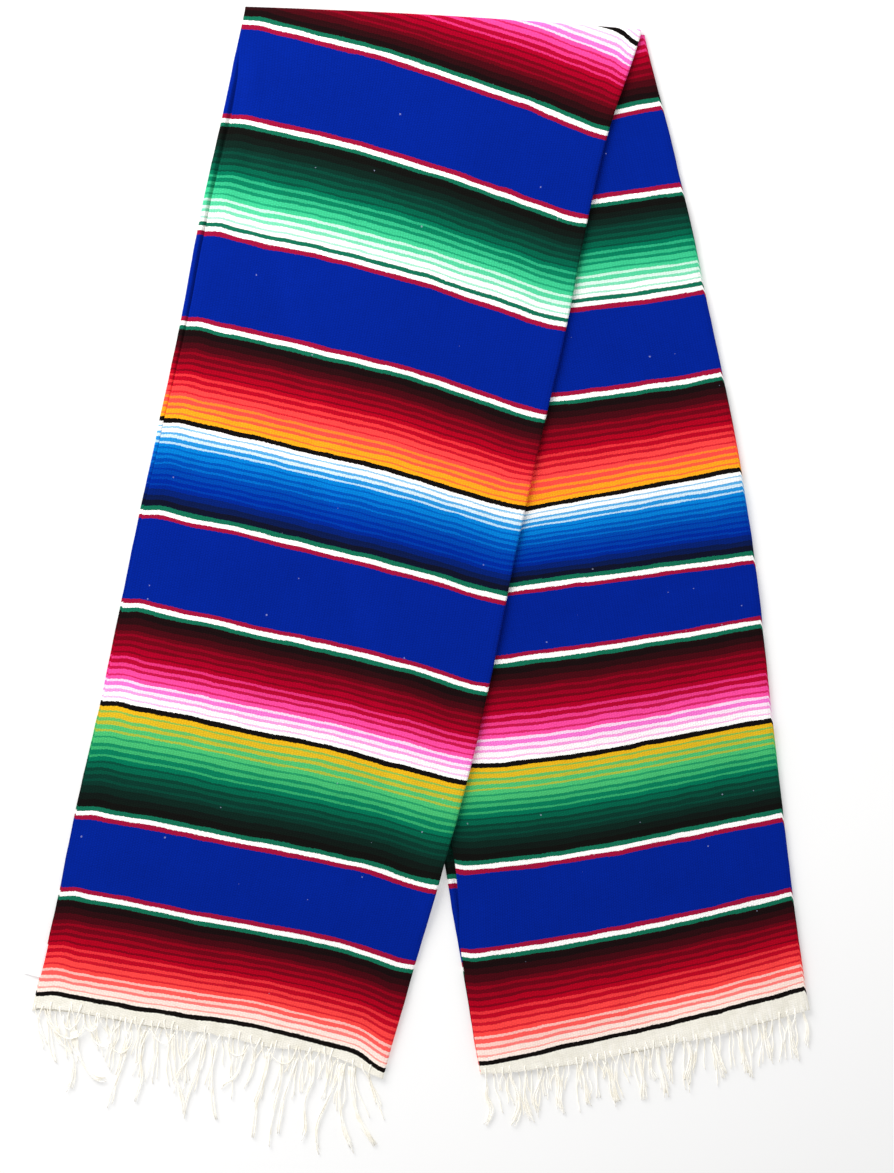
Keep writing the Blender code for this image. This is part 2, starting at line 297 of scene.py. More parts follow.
end_rows = {"upper": row_of(UPPER, 1.0), "lower": row_of(LOWER, 1.0)}
print("rows at the black lines:", {k: round(r.width, 3) for k, r in end_rows.items()}, "m wide")

# %% [markdown]
# ## Relief
#
# Thick cloth that has been folded and laid down is never flat. It puffs where it turns round the
# side fold, it keeps long shallow creases from its earlier folds, and its corners curl a little.
# Each crease here is given as a soft ridge between two places of the photograph, with
# its half width and its height in millimetres. They only ever lift the cloth, so no layer sinks
# into the one below, and the upper stretch rides on what the lower one does.

# %% Creases
UPPER_CREASES = [
    (262, 40, 230, 190, 9, 0.9), (226, 200, 196, 330, 8, 0.7), (300, 70, 560, 180, 34, 1.0),
    (250, 150, 420, 215, 26, 0.8), (225, 275, 500, 370, 30, 1.1), (400, 330, 520, 385, 16, 0.8),
    (205, 360, 330, 400, 20, 0.9), (180, 440, 420, 520, 28, 1.0), (160, 540, 300, 560, 24, 0.9),
    (330, 560, 480, 620, 26, 1.2), (140, 640, 400, 700, 30, 1.0), (120, 730, 240, 770, 22, 0.8),
    (270, 760, 440, 830, 24, 1.0), (100, 850, 300, 905, 28, 1.1), (330, 890, 410, 930, 20, 1.2),
    (70, 960, 210, 975, 18, 1.1), (250, 960, 360, 1010, 20, 1.3),
]
LOWER_CREASES = [
    (640, 150, 675, 240, 12, 0.8), (600, 240, 690, 225, 20, 0.8), (580, 345, 715, 320, 24, 1.0),
    (560, 440, 700, 425, 22, 0.9), (610, 520, 740, 500, 24, 1.1), (540, 600, 640, 585, 20, 0.8),
    (680, 600, 755, 592, 16, 1.0), (520, 700, 660, 680, 26, 1.0), (690, 735, 770, 722, 20, 1.0),
    (505, 800, 640, 785, 22, 0.9), (560, 890, 730, 862, 28, 1.2), (480, 915, 500, 1020, 12, 1.0),
    (610, 965, 770, 930, 24, 1.1), (520, 1025, 620, 1005, 16, 1.0),
]
FOLD_PUFF = 1.3 * MM
FOLD_PUFF_REACH = 15 * MM


def crease_lift(creases, x, y):
    """The height of all the soft ridges over a place of the photograph."""
    lift = 0.0
    for x0, y0, x1, y1, half, height in creases:
        run_x, run_y = x1 - x0, y1 - y0
        length = math.hypot(run_x, run_y)
        along = ((x - x0) * run_x + (y - y0) * run_y) / length
        aside = ((x - x0) * run_y - (y - y0) * run_x) / length
        past = max(-along, along - length, 0.0)
        away = math.hypot(aside, past) / half
        if away < 2.6:
            lift += height * MM * math.exp(-away * away)
    return lift


def relief(panel, row, spot, distance):
    """How far a visible layer stands over its solid: creases, a fine unevenness and the puffed fold."""
    creases = UPPER_CREASES if panel is UPPER else LOWER_CREASES
    x, y = ORIGIN_X + spot.x / PIXEL, photo_height(spot)
    lift = crease_lift(creases, x, y)
    lift += 0.35 * MM * (1 + noise.noise(Vector((x / 31, y / 31, panel.seed))))
    from_fold = (row.width - SIDE_FOLD_RADIUS - distance) / FOLD_PUFF_REACH
    uneven = 0.75 + 0.35 * wander(row.along * 0.95, panel.seed + 21)
    lift += FOLD_PUFF * uneven * math.exp(-from_fold * from_fold)
    return lift * soft_step(row.along / 0.07)


def slope_line():
    """A point and the outward normal of the line where the upper panel starts to slope down."""
    outward = (LOWER.end_left - AXIS_LEFT).normalized()
    outward = Vector((outward.y, -outward.x, 0))
    furthest = 0.0
    for i in range(17):
        row = row_of(LOWER, i / 16)
        spot = place_on(row, 0.0, -max(row.peek, 0.0))
        furthest = max(furthest, (spot - AXIS_LEFT).dot(outward))
    corner_row = row_of(UPPER, 0.0)
    corner = place_on(corner_row, 0.0, -corner_row.peek)
    furthest = max(furthest, (corner - AXIS_LEFT).dot(outward))
    return AXIS_LEFT + outward * (furthest + SLOPE_MARGIN), outward


SLOPE_START, SLOPE_OUT = slope_line()


def held_up(spot):
    """How much of the lower panel's thickness is under a place: 1 over it, 0 beside it."""
    flat = Vector((spot.x, spot.y, 0))
    return 1 - soft_step((flat - SLOPE_START).dot(SLOPE_OUT) / SLOPE_RUN)


print(len(UPPER_CREASES) + len(LOWER_CREASES), "creases; the slope starts at", SLOPE_START.to_tuple(3))

# %% [markdown]
# ## The weaver's draft
#
# The stripes are charted as a weaver would, as a run of yarns outwards from the black line at the
# middle of the web, in millimetres. Both halves of the web are the same. A dye that shades into
# another does it with narrow lines in turn, each mixed from the two: every other line is nearer to
# the new dye, and the old one slowly gives way. One short rule of seven widths and mixes makes
# every such shading, and a shaded band is just the list of its dyes, dark to light or light to dark.

# %% The draft
Pick = namedtuple("Pick", "width share")
SHADING_RULE = [
    Pick(2.5, 0.58),
    Pick(4.2, 0.04),
    Pick(3.4, 0.72),
    Pick(3.0, 0.18),
    Pick(4.7, 0.92),
    Pick(2.1, 0.40),
    Pick(3.8, 1.00),
]
TO_BLUE = [("green", 3.8), ("white", 4.1), ("red", 4.1)]
FROM_BLUE = TO_BLUE[::-1]
DRAFT = [
    ("black", 2.3),
    (("white", "rose", "crimson", "maroon", "black"), 80.6),
    *TO_BLUE,
    ("blue", 73.6),
    *FROM_BLUE,
    (("black", "pine", "emerald", "jade", "white"), 86.4),
    *TO_BLUE,
    ("blue", 74.0),
    *FROM_BLUE,
    (("black", "maroon", "scarlet", "coral", "amber"), 81.0),
    ("black", 4.4),
    (("white", "sky", "azure", "navy", "black"), 77.4),
    *TO_BLUE,
    ("blue", 72.3),
    *FROM_BLUE,
    (("black", "maroon", "crimson", "rose", "white"), 81.4),
    ("black", 4.6),
    (("gold", "leaf", "emerald", "pine", "black"), 90.4),
    *TO_BLUE,
    ("blue", 62.8),
    *FROM_BLUE,
    (("black", "maroon", "scarlet", "coral", "shell"), 80.7),
    ("black", 4.2),
]


def draft_marks():
    """Where each run of the draft starts, and where the draft ends, in metres from the middle."""
    marks, place = [], 0.0
    for yarn, width in DRAFT:
        marks.append(place)
        place += width * MM
    return marks + [place]


MARKS = draft_marks()
WHITE_LINES = [MARKS[i] for i, (yarn, width) in enumerate(DRAFT) if yarn == "white"]
BLACK_LINES = [MARKS[i] for i, (yarn, width) in enumerate(DRAFT) if yarn == "black"][1:]
print("half the web is", round(MARKS[-1], 3), "m from its middle to its last black line")

# %% [markdown]
# Next, where those lines lie on the two stretches. Along the upper one each line is a row of
# heights in the photograph, evenly spaced from its left edge to its right edge. Along the lower
# one it is the height at one column, and a slope, a bend and a twist for each hundred pixels from
# there. Each point of the cloth then finds its place in the draft between the lines above and
# below it, so the pattern is fixed to the cloth itself, in its UV map.

# %% Where the lines lie
UPPER_LINES = [
    (-73, -68, -62, -57, -52, -47, -41, -36, -31, -26, -21, -15, -10, -5, 0.5, 6.5, 13, 20, 27, 33.7, 46),
    (21.8, 37.7, 57.0, 81.9, 106.4, 132.4),
    (119.6, 133.5, 151.7, 173.3, 198.0, 220.2),
    (227.3, 241.8, 258.4, 278.4, 301.9, 323.8),
    (322.3, 335.4, 353.2, 370.4, 393.8, 415.3),
    (418.0, 431.7, 448.7, 465.8, 487.2, 506.6),
    (510.1, 522.6, 539.6, 557.4, 576.2, 596.1),
    (602.8, 616.2, 632.9, 648.1, 666.7, 687.5),
    (701.2, 713.2, 729.1, 743.8, 762.3, 779.6),
    (810.1, 820.1, 835.1, 848.4, 864.4, 884.4),
    (891.3, 901.8, 916.3, 928.9, 944.0, 964.8),
    (991.0, 994.2, 1000.3, 1006.3, 1011.9, 1016.6, 1022.0, 1030.1, 1039.0, 1048.5, 1067.9),
]
LOWER_COLUMN = 640.0
LOWER_LINES = [
    (2.5, -20.0, 0, 0),
    (105.7, -20.0, 0, 0),
    (193.1, -14.1, 0, 0),
    (295.5, -13.7, -2.5, 0),
    (386.4, -15.0, -3.1, 0),
    (485.9, -18.5, -0.1, 0),
    (570.1, -13.1, -0.2, 0),
    (639.8, -15.4, -1.2, 0),
    (741.8, -18.8, -1.5, 1.2),
    (840.6, -19.3, -1.7, 0.8),
    (925.4, -20.2, -2.0, 0.2),
    (1027.1, -22.5, -1.0, -0.6),
]
LINE_PLACES = [0.0] + sorted(WHITE_LINES + BLACK_LINES)
UPPER_STEP = 0.974 / PIXEL
LOWER_STEP = 1.0 / PIXEL


def interpolate(x, xs, ys, before, after):
    """The value at x between known points, with a given slope before the first and after the last."""
    if x <= xs[0]:
        return ys[0] - (xs[0] - x) * before
    for i in range(1, len(xs)):
        if x <= xs[i]:
            return ys[i - 1] + (ys[i] - ys[i - 1]) * (x - xs[i - 1]) / (xs[i] - xs[i - 1])
    return ys[-1] + (x - xs[-1]) * after


def draft_place(panel, spot, share, hidden=0.0):
    """How far a place of the cloth is from the middle of the web, measured along the draft."""
    share = min(max(share, 0.0), 1.0)
    heights, places = [], []
    step = UPPER_STEP if panel is UPPER else LOWER_STEP
    column = (ORIGIN_X + spot.x / PIXEL - LOWER_COLUMN) / 100
    seen = max(column, -1.9)
    for i, line in enumerate(UPPER_LINES if panel is UPPER else LOWER_LINES):
        if panel is UPPER:
            height = curve_through(line, share) - 1.6 * math.exp(-(((share - 0.045) / 0.03) ** 2))
        else:
            height = line[0] + line[1] * column + line[2] * seen**2 + line[3] * seen**3
            height -= 2.4 * math.exp(-((share / 0.022) ** 2))
        near, far = (3.8, 8.2) if i in (1, 3, 6, 9) else (4.1, 7.9)
        if i == 0 or LINE_PLACES[i] in BLACK_LINES:
            near, far = 0.0, 2.3
        heights += [height - near * MM * step, height + far * MM * step]
        places += [LINE_PLACES[i] - near * MM, LINE_PLACES[i] + far * MM]
    at = photo_height(spot) + hidden * panel.hidden_step
    return interpolate(at, heights, places, 1 / step, 1 / step)


print("lines at", [round(p, 4) for p in LINE_PLACES])

# %% [markdown]
# ## The cloth
#
# Each stretch starts as a flat grid, the web as it left the loom. Its columns are warps and its
# rows are wefts. Columns are close together on the visible half and at the side fold, and wider
# apart on the hidden half. Every point is then laid where it goes: over the top, round the side
# fold, and back underneath, and for the upper stretch also round the cross fold. Where the hidden
# selvedge peeks out it stands up as a soft lip, with a groove between it and the visible one that
# is shaded by its depth and also by painted shade in the weave's colour. Solidify gives the web its
# thickness, and a small bevel rounds the cut rim.

# %% Columns and rows of the grid
WEB_HALF = 355.0 * MM
VISIBLE_COLUMNS = 84
TURN_COLUMNS = 8
HIDDEN_COLUMNS = 28
LIP_COLUMNS = 7
LIP_WIDTH = 11.0 * MM
LIP_HEIGHT = 2.1 * MM
SETBACK = 2.2 * MM
COLUMNS = VISIBLE_COLUMNS + TURN_COLUMNS + HIDDEN_COLUMNS
LONG_ROWS = 228
TURN_ROWS = 10
HEADING_ROWS = 5
MID_RADIUS = PLY / 2
UPPER_EDGE = (16.5, 16.0, 16.0, 17.3, 16.8, 16.5, 17.8, 16.2, 12.5, 12.3, 9.0)
LOWER_EDGE = (11.5, 14.5, 17.0, 17.5, 17.0, 18.0, 18.5, 19.5, 19.5, 19.0, 18.0)


def lip_of(row):
    """How much of a lip the hidden selvedge makes in a row: 1 where it peeks out well, else 0."""
    return soft_step((row.peek - 1.5 * MM) / (2.5 * MM))


def column_place(row, index):
    """A column's distance from the upper selvedge, its height in the doubled web, and its warp."""
    flat = row.width - SIDE_FOLD_RADIUS
    if index <= VISIBLE_COLUMNS:
        share = index / VISIBLE_COLUMNS
        share *= 0.35 + 0.65 * min(share / 0.06, 1.0)
        setback = SETBACK * lip_of(row)
        return setback + (flat - setback) * share, WALL / 2 + PLY, WEB_HALF * share, 1.0
    if index < VISIBLE_COLUMNS + TURN_COLUMNS:
        share = (index - VISIBLE_COLUMNS) / TURN_COLUMNS
        turn = math.pi * share
        height = WALL / 2 + MID_RADIUS * (1 + math.cos(turn))
        return flat + MID_RADIUS * math.sin(turn), height, WEB_HALF + MID_RADIUS * turn, 1 - share
    left = COLUMNS - index
    lip = LIP_WIDTH / (flat + row.peek)
    plain = (HIDDEN_COLUMNS - left) / (HIDDEN_COLUMNS - LIP_COLUMNS) * (1 - lip)
    share = 1 - lip * left / LIP_COLUMNS if left < LIP_COLUMNS else plain
    warp = WEB_HALF * (1 + share) + MID_RADIUS * math.pi
    distance = flat - (flat + row.peek) * share
    from_cord = (distance + row.peek - 2.2 * MM) / (1.9 * MM)
    height = WALL / 2 + LIP_HEIGHT * lip_of(row) * math.exp(-from_cord * from_cord)
    return distance, height, warp, 0.0


def edge_reach(panel, share, hidden):
    """How far the woven heading runs past the end row, with the dips between its bundles."""
    table = UPPER_EDGE if panel is UPPER else LOWER_EDGE
    reach = curve_through(table, share) * MM
    if panel is UPPER:
        row = end_rows["upper"]
        spot = place_on(row, 0.0, share * row.width)
        reach += (curve_through(UPPER_LINES[-1], share) - photo_height(spot)) * PIXEL
    reach += 1.9 * MM * wander(share * 0.33, panel.seed + 60 + 9 * hidden)
    return reach - 0.8 * MM * abs(math.sin(math.pi * 27 * share))


def laid(panel, row, beyond, index):
    """A point of the web, and its place on the UV map."""
    distance, height, warp, visible = column_place(row, index)
    share = min(distance / row.width, 1.0)
    spot = place_on(row, beyond, distance)
    lift = relief(panel, row, spot, distance) * visible
    if panel is UPPER:
        over = held_up(spot)
        below = relief(LOWER, row, spot, 0.0) if over > 0 else 0.0
        lift += over * (LIFT + below) + 0.12 * MM * (1 - over)
    else:
        lift += 0.1 * MM
    z = height + lift
    return Vector((spot.x, spot.y, z)), (warp, draft_place(panel, spot, share, 1 - visible))


def laid_in_turn(index, turn):
    """A point of the web on the cross fold, turned about its axis from the upper panel's start.

    The draft runs at its true size over the top quarter. What the two stretches leave over is below.
    """
    row = row_of(UPPER, 0.0)
    spot, (warp, upper_place) = laid(UPPER, row, 0.0, index)
    distance = column_place(row, index)[0]
    lower_place = -draft_place(LOWER, spot, distance / row.width)
    radius = spot.z - CROSS_FOLD_RADIUS
    moved = Vector((spot.x, spot.y, CROSS_FOLD_RADIUS)) - FOLD_INWARD * radius * math.sin(turn)
    moved.z += radius * math.cos(turn)
    true = upper_place - radius * min(turn, math.pi / 2)
    under = max(turn / (math.pi / 2) - 1, 0.0)
    return moved, (warp, true + (lower_place - true) * under)


def lay_rows(panel):
    """All the rows of a stretch of web, each a list of points with their UV places."""
    rows = []
    if panel is UPPER:
        for i in range(TURN_ROWS, 0, -1):
            turn = math.pi * i / TURN_ROWS
            rows.append([laid_in_turn(c, turn) for c in range(COLUMNS + 1)])
    for i in range(LONG_ROWS + 1):
        row = row_of(panel, i / LONG_ROWS)
        rows.append([laid(panel, row, 0.0, c) for c in range(COLUMNS + 1)])
    last = row_of(panel, 1.0)
    reaches = []
    for c in range(COLUMNS + 1):
        distance, height, warp, visible = column_place(last, c)
        share = min(max(distance / last.width, 0.0), 1.0)
        reaches.append(edge_reach(panel, share, 1 - round(visible)))
    for i in range(1, HEADING_ROWS + 1):
        share = i / HEADING_ROWS
        rows.append([laid(panel, last, reaches[c] * share, c) for c in range(COLUMNS + 1)])
    if panel is LOWER:
        rows = [[(spot, (warp, -place)) for spot, (warp, place) in row] for row in rows]
    return rows


def weave(name, panel):
    """A grid that is laid row by row, and given its thickness and its rounded rim."""
    rows = lay_rows(panel)
    bpy.ops.object.select_all(action="DESELECT")
    bpy.ops.mesh.primitive_grid_add(x_subdivisions=COLUMNS, y_subdivisions=len(rows) - 1, size=1)
    cloth = bpy.context.object
    cloth.name = name
    mesh = cloth.data
    width = COLUMNS + 1
    for i, vert in enumerate(mesh.vertices):
        vert.co = rows[i // width][i % width][0]
    web_map = mesh.uv_layers.active
    web_map.name = "web"
    for loop in mesh.loops:
        i = loop.vertex_index
        web_map.data[loop.index].uv = rows[i // width][i % width][1]
    wall = cloth.modifiers.new("wall", "SOLIDIFY")
    wall.thickness = CLOTH
    wall.offset = 0.0
    wall.use_even_offset = False
    bpy.ops.object.modifier_apply(modifier="wall")
    rim = cloth.modifiers.new("rim", "BEVEL")
    rim.width = 0.45 * MM
    rim.segments = 2
    rim.limit_method = "ANGLE"
    rim.angle_limit = math.radians(60)
    bpy.ops.object.modifier_apply(modifier="rim")
    bpy.ops.object.shade_smooth()
    return cloth


upper_cloth = weave("upper_stretch_of_web", UPPER)
lower_cloth = weave("lower_stretch_of_web", LOWER)
for cloth in (upper_cloth, lower_cloth):
    cloth.data.calc_loop_triangles()
    size = [round(v, 4) for v in cloth.dimensions]
    print(cloth.name, size, "m,", len(cloth.data.loop_triangles), "triangles")

# %% [markdown]
# ## Dyed yarn
#
# The weft is thick soft acrylic yarn, matt, a little fuzzy, and dyed in strong flat colours. The
# colours are named as the dye house would name them. A ramp keeps only 256 steps, so the draft is
# cut into short zones: each shaded band has a ramp of its own, made by the shading rule from its
# five dyes, and each blue ground has one with its edging lines.

# %% Yarn colours and ramps
YARNS = {
    "black": "120e0d", "white": "fdfbf8", "blue": "02218d", "red": "9c1239", "green": "136b50",
    "rose": "fb4ea2", "orchid": "f254c2", "crimson": "ac0226", "maroon": "690616", "pine": "0a352a",
    "emerald": "037353", "jade": "3fc78e", "scarlet": "b1041f", "coral": "ff4945", "amber": "f9a81c",
    "sky": "047ccd", "azure": "0045a7", "navy": "002692", "gold": "e6b21c", "leaf": "48ba70",
    "shell": "ffece0", "heading": "f3efe3",
}
SWALLOWS = {"black": 1.6, "pine": 1.9, "maroon": 1.4, "emerald": 0.8, "scarlet": 0.8, "crimson": 0.8}
WASHES = {
    ("rose", "white"): 0.5,
    ("jade", "white"): 0.7,
    ("sky", "white"): 0.65,
    ("coral", "shell"): 0.65,
    ("black", "navy"): 1.0,
}
TURNS = {("rose", "white"): "orchid"}
EVENS = {"black": 0.75, "pine": 0.4}


def between(old, new, share):
    """The hex colour that is part of the way from one dye to another."""
    pairs = [(int(YARNS[old][i : i + 2], 16), int(YARNS[new][i : i + 2], 16)) for i in (0, 2, 4)]
    return "".join(f"{round(a + (b - a) * share):02x}" for a, b in pairs)


def ramp(tree, place, start, end, runs):
    """A hard-stepped ramp over a part of the draft. Runs are hex colours and their widths."""
    stretch = add(tree, "ShaderNodeMapRange", {0: place, 1: start, 2: end, 3: 0.0, 4: 1.0})
    made = add(tree, "ShaderNodeValToRGB", {"Fac": stretch.outputs[0]})
    made.color_ramp.interpolation = "CONSTANT"
    stops = made.color_ramp.elements
    stops.remove(stops[1])
    total = sum(width for colour, width in runs)
    at = 0.0
    for i, (colour, width) in enumerate(runs):
        stop = stops.new(at / total) if i else stops[0]
        stop.color = linear(colour)
        at += width
    return made.outputs[0]


def shaded_runs(dyes):
    """The runs of a shaded band: seven lines from each dye to the next.

    Black and the darkest dyes swallow what is mixed into them, and a pale dye washes the other out.
    Rose turns towards orchid as it thins. Next to black the lines are so dark that they run together.
    """
    rising = dyes[0] == "black"
    runs = []
    order = dyes if rising else dyes[::-1]
    for old, new in zip(order, order[1:]):
        power = WASHES.get((old, new)) or SWALLOWS.get(old, 1.0)
        even = EVENS.get(old, 0.0)
        for i, pick in enumerate(SHADING_RULE):
            steady = (i + 0.5) / len(SHADING_RULE)
            share = even * steady**power + (1 - even) * pick.share**power
            runs.append((between(TURNS.get((old, new), old), new, share), pick.width))
    return runs if rising else runs[::-1]


def in_band(tree, place, start, end):
    """1 inside a part of the draft and 0 outside it."""
    after = add(tree, "ShaderNodeMath", {0: place, 1: start}, operation="GREATER_THAN")
    before = add(tree, "ShaderNodeMath", {0: place, 1: end}, operation="LESS_THAN")
    both = add(tree, "ShaderNodeMath", {0: after.outputs[0], 1: before.outputs[0]}, operation="MULTIPLY")
    return both.outputs[0]


def zones():
    """The draft cut before and after each shaded band. A ramp is only fine enough over a short zone."""
    cut = []
    for (yarn, width), start in zip([*DRAFT, ("heading", 60.0)], MARKS):
        if isinstance(yarn, tuple):
            cut.append((start, width, shaded_runs(yarn)))
            continue
        run = (YARNS[yarn], width)
        if cut and len(cut[-1][2]) < 8:
            start, before, runs = cut.pop()
            cut.append((start, before + width, [*runs, run]))
        else:
            cut.append((start, width, [run]))
    return cut


def striped_colour(tree, place):
    """The whole draft as colour, from a place along it in metres."""
    colour = linear(YARNS["blue"])
    for start, width, runs in zones():
        stop = start + width * MM
        inside = in_band(tree, place, start, stop)
        part = ramp(tree, place, start, stop, runs)
        colour = add(tree, "ShaderNodeMix", {0: inside, 6: colour, 7: part}, data_type="RGBA").outputs[2]
    return colour


print(len(YARNS), "yarns,", len(zones()), "zones; a shaded band has", len(shaded_runs(DRAFT[1][0])), "lines")

# %% [markdown]
# The weave itself is weft-faced: warps 2.6 mm apart are buried, and each pick of weft, about a
# millimetre high, passes over one warp and under the next. What shows is a brick pattern of small
# soft beads in long ribs. It makes the edge of every stripe step by half a pick at each rib, which
# gives the colour its hand-woven edge, and it is the bump of the surface. Between the beads the
# colour is darkened as painted shade, and again in a soft band along the groove by the peeking
# hidden selvedge. Noise stretched along the weft gives each pick its own depth of dye, and pale
# flecks are lint caught in the nap.

# %% The woven finish
WARP_PITCH = 2.6 * MM
PICK_PITCH = 1.15 * MM
NAP = 1.2 * MM
GROOVE_PLACE = 5.2 * MM
GROOVE_HALF = 1.9 * MM


def woven_yarn(name):
    material, tree = new_material(name)

    def maths(operation, a, b=0.0, c=0.0):
        return add(tree, "ShaderNodeMath", {0: a, 1: b, 2: c}, operation=operation).outputs[0]

    web = add(tree, "ShaderNodeUVMap", uv_map="web")
    parts = add(tree, "ShaderNodeSeparateXYZ", {0: web.outputs[0]})
    warp, draft = parts.outputs[0], parts.outputs[1]

    def streaks(warps, drafts, detail, middle, size):
        """Noise with its own scale along the weft and along the draft, about its middle value."""
        scaled = {0: maths("MULTIPLY", warp, warps), 1: maths("MULTIPLY", draft, drafts)}
        at = add(tree, "ShaderNodeCombineXYZ", scaled).outputs[0]
        made = add(tree, "ShaderNodeTexNoise", {"Vector": at, "Scale": 1.0, "Detail": detail})
        return maths("MULTIPLY", maths("SUBTRACT", made.outputs["Fac"], middle), size)

    def mixed(share, under, over, blend="MIX"):
        sockets = {0: share, 6: under, 7: over}
        return add(tree, "ShaderNodeMix", sockets, data_type="RGBA", blend_type=blend).outputs[2]

    rib = maths("DIVIDE", warp, WARP_PITCH)
    odd = maths("PINGPONG", maths("FLOOR", rib), 1.0)
    pick = maths("DIVIDE", draft, PICK_PITCH * 2)
    bead_along = maths("FRACT", maths("ADD", pick, maths("MULTIPLY", odd, 0.5)))
    across = maths("SINE", maths("MULTIPLY", maths("FRACT", rib), math.pi))
    along = maths("SINE", maths("MULTIPLY", bead_along, math.pi))
    bead = maths("POWER", maths("MULTIPLY", across, along), 0.6)

    shift = maths("ADD", streaks(26.0, 26.0, 2.0, 0.5, 3.2 * MM), streaks(42.0, 420.0, 1.0, 0.5, 1.6 * MM))
    shift = maths("ADD", shift, maths("MULTIPLY", maths("SUBTRACT", odd, 0.5), 0.15 * MM))
    shift = maths("ADD", shift, streaks(1400.0, 2300.0, 1.0, 0.5, NAP))
    place = maths("ABSOLUTE", maths("ADD", draft, shift))
    colour = striped_colour(tree, place)
    pale = in_band(tree, place, MARKS[-1], 1.0)
    patch = add(tree, "ShaderNodeTexNoise", {"Vector": web.outputs[0], "Scale": 75.0, "Detail": 4.0})
    dusty = maths("MULTIPLY", maths("SUBTRACT", patch.outputs["Fac"], 0.40), 3.0)
    colour = mixed(maths("MULTIPLY", pale, dusty), colour, linear("e7e3d4"))
    rim = {0: place, 1: MARKS[-1] + 4 * MM, 2: MARKS[-1] + 14 * MM, 3: 0.0, 4: 5.0}
    lying = streaks(380.0, 60.0, 2.0, 0.48, add(tree, "ShaderNodeMapRange", rim).outputs[0])
    colour = mixed(lying, colour, linear("fdfbf5"))

    cloud = add(tree, "ShaderNodeTexNoise", {"Vector": web.outputs[0], "Scale": 11.0, "Detail": 3.0})
    depth = maths("ADD", streaks(60.0, 900.0, 2.0, 0.5, 0.22), streaks(330.0, 42.0, 3.0, 0.5, 0.14))
    depth = maths("ADD", depth, maths("MULTIPLY", maths("SUBTRACT", cloud.outputs["Fac"], 0.5), 0.16))
    # Painted shade: the colour is darker between the beads of the weave, less so on the pale heading.
    painted_bead_shade = maths("SUBTRACT", 0.20, maths("MULTIPLY", pale, 0.13))
    depth = maths("ADD", depth, maths("MULTIPLY", maths("SUBTRACT", bead, 0.72), painted_bead_shade))
    depth = maths("ADD", depth, 1.0)
    # Painted shade: the weft is darkened in a soft band along the groove beside the peeking hidden selvedge,
    # on the upper stretch.
    hem = WEB_HALF * 2 + MID_RADIUS * math.pi
    from_groove = maths("DIVIDE", maths("SUBTRACT", warp, hem - GROOVE_PLACE), GROOVE_HALF)
    painted_groove_shade = maths("POWER", math.e, maths("MULTIPLY", maths("MULTIPLY", from_groove, from_groove), -1.0))
    painted_groove_shade = maths("MULTIPLY", painted_groove_shade, maths("GREATER_THAN", draft, 0.0))
    depth = maths("MULTIPLY", depth, maths("SUBTRACT", 1.0, maths("MULTIPLY", painted_groove_shade, 0.35)))
    toned = mixed(1.0, colour, depth, "MULTIPLY")

    fleck = add(tree, "ShaderNodeTexVoronoi", {"Vector": web.outputs[0], "Scale": 88.0, "Randomness": 1.0})
    chance = add(tree, "ShaderNodeSeparateColor", {0: fleck.outputs["Color"]})
    tiny = maths("LESS_THAN", fleck.outputs["Distance"], maths("MULTIPLY", chance.outputs[1], 0.085))
    rare = maths("GREATER_THAN", chance.outputs[0], 0.80)
    lint = maths("MULTIPLY", maths("MULTIPLY", tiny, rare), 0.3)
    linted = mixed(lint, toned, linear("c4caee"))

    fuzz = add(tree, "ShaderNodeTexNoise", {"Vector": web.outputs[0], "Scale": 1500.0, "Detail": 2.0})
    height = maths("ADD", maths("MULTIPLY", bead, 1.0), maths("MULTIPLY", fuzz.outputs["Fac"], 0.35))
    bump = add(tree, "ShaderNodeBump", {"Strength": 0.55, "Distance": 0.35 * MM, "Height": height})
    shader = add(
        tree,
        "ShaderNodeBsdfPrincipled",
        {
            "Base Color": linted,
            "Roughness": 0.88,
            "Specular IOR Level": 0.02,
            "Sheen Weight": 0.015,
            "Sheen Roughness": 0.45,
            "Normal": bump.outputs[0],
        },
    )
    add(tree, "ShaderNodeOutputMaterial", {"Surface": shader.outputs[0]})
    return material


weft_finish = woven_yarn("weft_faced_acrylic_weave")
for cloth in (upper_cloth, lower_cloth):
    cloth.data.materials.clear()
    cloth.data.materials.append(weft_finish)
    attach(cloth, "root")
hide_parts("upper_panel_visible_layer", "upper_panel_hidden_layer")
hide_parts("lower_panel_visible_layer", "lower_panel_hidden_layer")
print("weave:", WARP_PITCH * 1000, "mm between ribs,", PICK_PITCH * 1000, "mm to a pick")

# %% [markdown]
# ## Fringe
#
# At each end the warps run on past the woven heading. Two or three thick soft yarns at a time
# leave the heading apart, some of them from a little above its edge, come together below it, and
# hang on as loose ends that wave. Each bundle follows its lock in the rigid model: out of the
# heading, down to the table and then away in its own lean, read at a few places in the photograph.

# %% Routes of the bundles
LOCKS = 27
LOCK_FLOOR_GAP = 0.35 * MM
YARN_RADIUS = 0.68 * MM
BUNDLE_STEPS = 15
SETTLES_AT = 16.0 * MM
Fringe = namedtuple("Fringe", "name node panel low length shortest yarns seed offset leans loose")
UPPER_LEANS = [(-0.02, 12), (0.10, 10), (0.18, 12), (0.24, -8), (0.30, -5), (0.40, 12), (0.47, -9), (0.55, 6)]
UPPER_LEANS += [(0.64, -8), (0.72, -5), (0.80, 1), (0.86, -6), (0.91, 13), (1.0, 22)]
LOWER_LEANS = [(0.0, 5), (0.15, 2), (0.3, -2), (0.45, 3), (0.6, -2), (0.75, 1), (0.9, -3), (1.0, 1)]


def lean_at(leans, share):
    """The sideways lean of a bundle's end, in metres, between the places read in the photograph."""
    shares = [place for place, lean in leans]
    return interpolate(share, shares, [lean * PIXEL for place, lean in leans], 0.0, 0.0)


def resting_height(fringe, run, stacked):
    """How high a bundle's middle is, a distance after it leaves the heading."""
    settle = soft_step(run / SETTLES_AT)
    resting = LOCK_FLOOR_GAP + YARN_RADIUS + 0.4 * MM + stacked
    return (fringe.low + WALL / 2) * (1 - settle) + resting * settle


